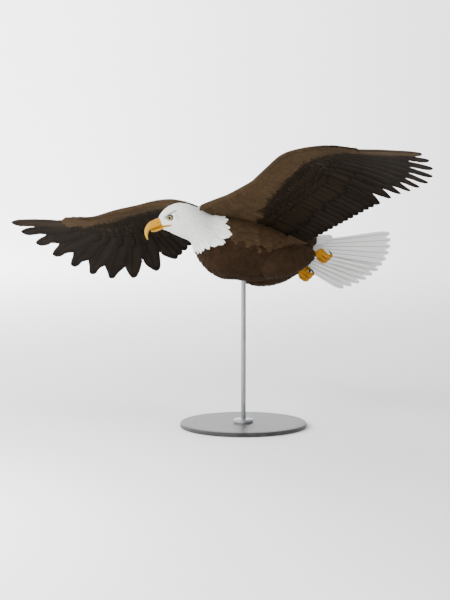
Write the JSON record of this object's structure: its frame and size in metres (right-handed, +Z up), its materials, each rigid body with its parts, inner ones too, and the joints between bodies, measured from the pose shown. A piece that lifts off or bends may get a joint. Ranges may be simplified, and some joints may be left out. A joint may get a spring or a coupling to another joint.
{
  "type": "bald eagle in banking flight",
  "caption": "Life-size bald eagle gliding in a gentle bank, wings spread, white head and fanned white tail, feet tucked, held over a round base by an upright rod",
  "frame": {"origin": "Centre of the underside of the stand's round base, on the surface that the model stands on.", "axes": "+Z is up. The bird flies along -Y, its left wing reaches towards +X and its tail points towards +Y. It is banked with the left wing up."},
  "size_m": [1.8442, 0.975, 0.9398],
  "materials": {
    "white_feathers": "off-white feathers, matt",
    "brown_feathers": "dark brown contour feathers, matt with a faint sheen",
    "flight_feathers": "blackish-brown flight feathers, faintly glossy",
    "bill": "golden-yellow keratin, paler towards the hook, half glossy",
    "cere": "yellow waxy skin over the nostrils",
    "eye": "pale yellow iris with a black pupil, wet gloss",
    "scaly_skin": "golden-yellow scaly skin",
    "talon": "black keratin, polished",
    "base_paint": "satin black paint over steel",
    "steel": "brushed steel"
  },
  "bodies": {
    "root": {"bill_lower": "bill", "bill_upper": "bill", "cere": "cere", "eye_left": "eye", "eye_right": "eye", "foot_left": "scaly_skin", "foot_right": "scaly_skin", "head": "white_feathers", "neck": "white_feathers", "shank_left": "scaly_skin", "shank_right": "scaly_skin", "stand_base": "base_paint", "stand_flange": "steel", "stand_rod": "steel", "tail": "white_feathers", "tail_coverts": "white_feathers", "talon_left_hind": "talon", "talon_left_inner": "talon", "talon_left_middle": "talon", "talon_left_outer": "talon", "talon_right_hind": "talon", "talon_right_inner": "talon", "talon_right_middle": "talon", "talon_right_outer": "talon", "thigh_left": "brown_feathers", "thigh_right": "brown_feathers", "trunk": "brown_feathers", "wing_left_forearm": "brown_feathers", "wing_left_hand": "brown_feathers", "wing_left_primaries": "flight_feathers", "wing_left_secondaries": "flight_feathers", "wing_left_shoulder": "brown_feathers", "wing_right_forearm": "brown_feathers", "wing_right_hand": "brown_feathers", "wing_right_primaries": "flight_feathers", "wing_right_secondaries": "flight_feathers", "wing_right_shoulder": "brown_feathers"}
  },
  "joints": []
}
